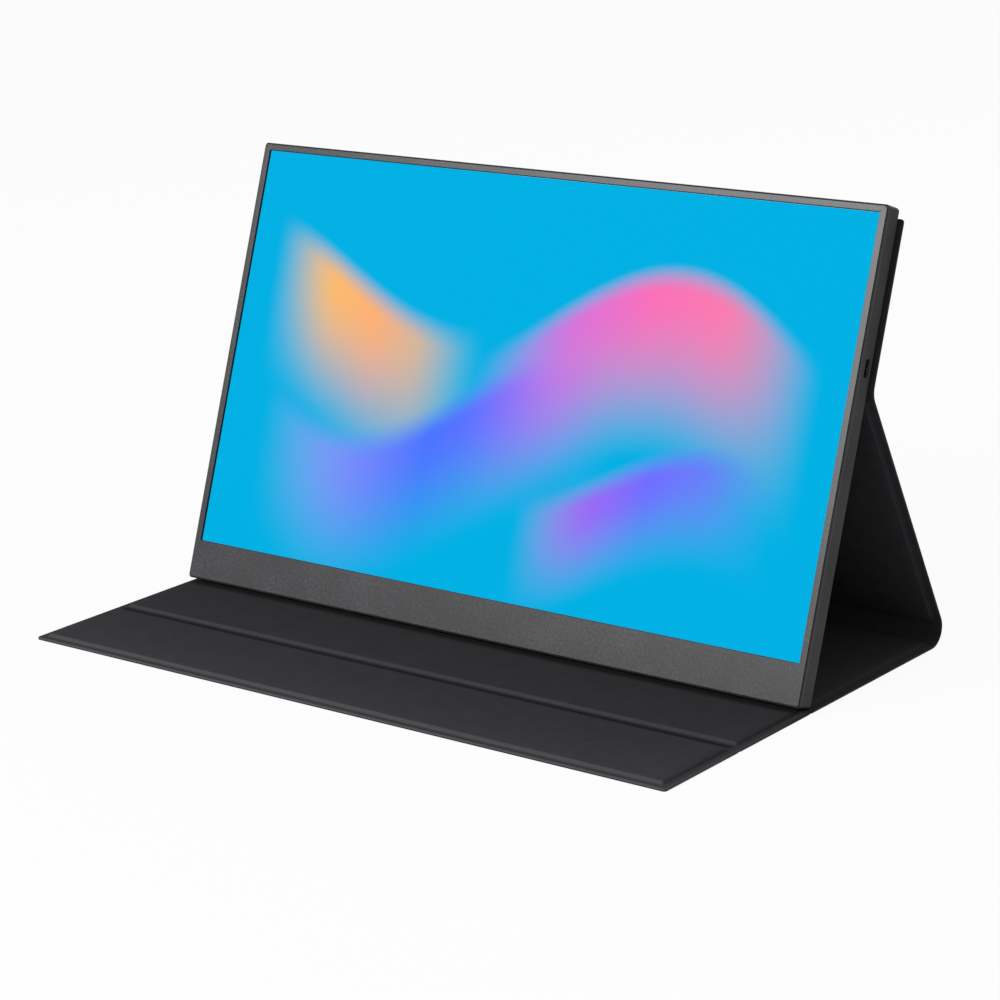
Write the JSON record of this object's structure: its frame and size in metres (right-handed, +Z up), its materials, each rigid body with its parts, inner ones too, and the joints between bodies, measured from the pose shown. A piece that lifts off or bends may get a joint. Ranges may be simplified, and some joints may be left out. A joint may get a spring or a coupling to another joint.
{
  "type": "portable monitor with cover",
  "caption": "Slim flat portable screen that stands leaning back in its own folding cover, with a prop behind and a grooved flap in front.",
  "frame": {"origin": "on the floor, in the middle of the footprint of the standing cover", "axes": "+X along the screen to the right as seen from the front, +Y to the back, +Z up; the screen faces -Y and leans back"},
  "size_m": [0.355, 0.2208, 0.2079],
  "materials": {
    "bezel": "fine speckled grain",
    "housing": "fine satin grain",
    "tape": "black foam tape",
    "picture": "lit picture, satin face",
    "cell": "dark glass",
    "frame": "moulded, black",
    "films": "clear and white films",
    "lamps": "row of small lamps",
    "steel": "sheet steel",
    "sockets": "plated shells",
    "boards": "green solder mask",
    "chips": "black moulding",
    "ribbons": "amber film",
    "cover_skin": "fine grained black",
    "cover_lining": "fine ribbed dark grey",
    "board": "pressed grey board"
  },
  "bodies": {
    "base": {"base_skin": "cover_skin", "base_board": "board", "base_lining": "cover_lining", "spine_bottom_strip": "cover_skin", "mid_groove_strip": "cover_lining"},
    "spine": {"spine_skin": "cover_skin", "spine_lining": "cover_lining", "spine_top_strip": "cover_skin"},
    "prop": {"prop_skin": "cover_skin", "prop_board": "board", "prop_lining": "cover_lining", "back_fold_strip": "cover_skin"},
    "back_panel": {"back_skin": "cover_skin", "back_board": "board", "back_lining": "cover_lining", "back_magnets": "sockets"},
    "monitor": {"front_bezel": "bezel", "rear_housing": "housing", "screen_tape": "tape", "screen_polariser": "picture", "lcd_cell": "cell", "module_frame": "frame", "film_stack": "films", "light_guide": "films", "reflector_sheet": "films", "led_strip": "lamps", "module_tray": "steel", "cell_flexes": "ribbons", "driver_board": "boards", "panel_cable": "ribbons", "main_board": "boards", "main_chips": "chips", "side_board": "boards", "side_cable": "ribbons", "usb_c_right": "sockets", "usb_c_left": "sockets", "mini_hdmi_socket": "sockets", "audio_jack": "chips", "board_screws": "steel", "speaker_left": "chips", "speaker_right": "chips", "hold_plates": "steel", "button_switches": "chips"},
    "power_button": {"power_button": "housing"},
    "menu_rocker": {"menu_rocker": "housing"},
    "mid_strip": {"mid_skin": "cover_skin", "mid_board": "board", "mid_lining": "cover_lining", "front_groove_strip": "cover_lining"},
    "front_strip": {"front_skin": "cover_skin", "front_board": "board", "front_lining": "cover_lining", "closing_magnets": "sockets"}
  },
  "joints": [
    {"name": "spine_bottom_fold", "type": "hinge", "parent": "base", "child": "spine", "pos_m": [0, 0.10496, 0.00065], "axis": [1, 0, 0], "range_deg": [-58.8, 0], "deforming": ["spine_bottom_strip"]},
    {"name": "spine_top_fold", "type": "hinge", "parent": "spine", "child": "prop", "pos_m": [0, 0.10969, 0.00843], "axis": [1, 0, 0], "range_deg": [-58.8, 0], "deforming": ["spine_top_strip"]},
    {"name": "back_fold", "type": "hinge", "parent": "prop", "child": "back_panel", "pos_m": [0, 0.04753, 0.12837], "axis": [1, 0, 0], "range_deg": [0, 46.84], "deforming": ["back_fold_strip"]},
    {"name": "monitor_lift_off", "type": "slide", "parent": "back_panel", "child": "monitor", "axis": [0, -0.9429, 0.333], "range_m": [0, 0.04]},
    {"name": "mid_groove_fold", "type": "hinge", "parent": "base", "child": "mid_strip", "pos_m": [0, -0.00244, 0.00065], "axis": [-1, 0, 0], "range_deg": [0, 5], "deforming": ["mid_groove_strip"]},
    {"name": "front_groove_fold", "type": "hinge", "parent": "mid_strip", "child": "front_strip", "pos_m": [0, -0.05694, 0.00065], "axis": [-1, 0, 0], "range_deg": [0, 130], "deforming": ["front_groove_strip"]},
    {"name": "power_button_press", "type": "slide", "parent": "monitor", "child": "power_button", "axis": [1, 0, 0], "range_m": [0, 0.0004], "stiffness_N_per_m": 4000},
    {"name": "menu_rocker_tilt", "type": "hinge", "parent": "monitor", "child": "menu_rocker", "pos_m": [-0.17345, 0.04728, 0.14553], "axis": [0, 0.9429, -0.333], "range_deg": [-2.5, 2.5], "stiffness_Nm_per_rad": 0.34}
  ],
  "couplings": [
    {"joint": "spine_bottom_fold", "follows": "back_fold", "ratio": -1.253},
    {"joint": "spine_top_fold", "follows": "back_fold", "ratio": -1.253}
  ]
}
